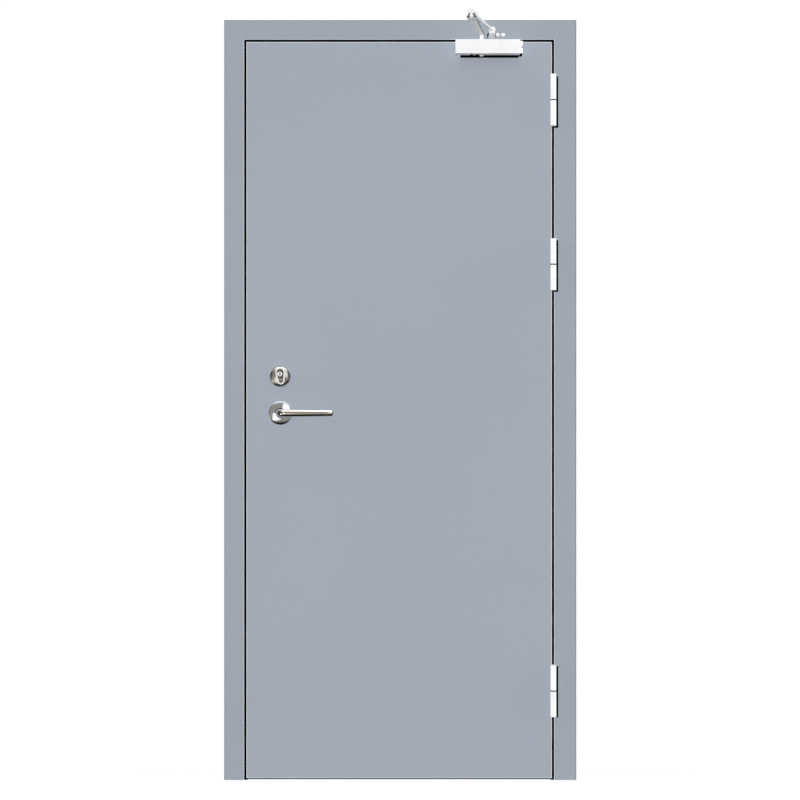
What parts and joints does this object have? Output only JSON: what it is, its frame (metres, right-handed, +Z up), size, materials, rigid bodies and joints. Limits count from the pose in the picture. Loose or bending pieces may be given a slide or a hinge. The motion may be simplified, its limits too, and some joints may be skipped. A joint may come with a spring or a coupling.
{
  "type": "security door",
  "caption": "Grey steel security door in its pressed steel frame, with three lift-off hinges, round-rose lever handles, a guarded key cylinder and an overhead closer.",
  "frame": {"origin": "middle of the threshold's underside, on the floor of the doorway", "axes": "+X to the hinge side, +Y away from the side the leaf opens to, +Z up"},
  "size_m": [0.95, 0.334, 2.05],
  "materials": {
    "frame_paint": "satin blue-grey powder coat",
    "leaf_paint": "satin blue-grey powder coat",
    "core_fill": "board core",
    "seal_rubber": "matt black rubber",
    "hinge_steel": "bright zinc plated steel",
    "satin_steel": "satin stainless steel",
    "key_brass": "nickel-plated plug",
    "closer_silver": "bright silver paint",
    "arm_steel": "silver plated steel"
  },
  "bodies": {
    "frame": {"hinge_jamb": "frame_paint", "lock_jamb": "frame_paint", "frame_head": "frame_paint", "threshold": "frame_paint", "strike_plate": "satin_steel", "lock_seal": "seal_rubber", "hinge_seal": "seal_rubber", "head_seal": "seal_rubber", "closer_shoe": "arm_steel", "shoe_pin": "arm_steel", "top_hinge_frame_barrel": "hinge_steel", "top_hinge_pin": "hinge_steel", "middle_hinge_frame_barrel": "hinge_steel", "middle_hinge_pin": "hinge_steel", "bottom_hinge_frame_barrel": "hinge_steel", "bottom_hinge_pin": "hinge_steel"},
    "leaf": {"leaf_front_skin": "leaf_paint", "leaf_back_skin": "leaf_paint", "leaf_core": "core_fill", "lock_faceplate": "satin_steel", "latch_bolt": "satin_steel", "dead_bolt": "satin_steel", "outer_rose": "satin_steel", "inner_rose": "satin_steel", "outer_cylinder_guard": "satin_steel", "outer_key_case": "satin_steel", "outer_key_plug": "key_brass", "inner_cylinder_guard": "satin_steel", "inner_key_case": "satin_steel", "inner_key_plug": "key_brass", "closer_body": "closer_silver", "closer_cover": "closer_silver", "closer_end_cap": "closer_silver", "top_hinge_leaf_barrel": "hinge_steel", "middle_hinge_leaf_barrel": "hinge_steel", "bottom_hinge_leaf_barrel": "hinge_steel"},
    "lever": {"outer_lever": "satin_steel", "inner_lever": "satin_steel", "lever_spindle": "satin_steel"},
    "closer_arm": {"closer_pinion": "arm_steel", "closer_main_arm": "arm_steel"},
    "closer_forearm": {"forearm_rod": "arm_steel", "forearm_sleeve": "arm_steel"}
  },
  "joints": [
    {"name": "leaf_swing", "type": "hinge", "parent": "frame", "child": "leaf", "pos_m": [0.412, -0.091, 1], "axis": [0, 0, 1], "range_deg": [0, 90], "stiffness_Nm_per_rad": 8, "springref_deg": -57.3},
    {"name": "lever_turn", "type": "hinge", "parent": "leaf", "child": "lever", "pos_m": [-0.323, -0.083, 0.99], "axis": [0, 1, 0], "range_deg": [0, 45], "stiffness_Nm_per_rad": 1.5, "springref_deg": -34.38},
    {"name": "closer_arm_turn", "type": "hinge", "parent": "leaf", "child": "closer_arm", "pos_m": [0.218, -0.113, 2.003], "axis": [0, 0, 1], "range_deg": [0, 98.9]},
    {"name": "forearm_swing", "type": "hinge", "parent": "frame", "child": "closer_forearm", "pos_m": [0.246, -0.11, 2.016], "axis": [0, 0, 1], "range_deg": [0, 112.2]}
  ],
  "couplings": [
    {"joint": "closer_arm_turn", "follows": "leaf_swing", "ratio": 1.0986},
    {"joint": "forearm_swing", "follows": "leaf_swing", "ratio": 1.2458}
  ]
}
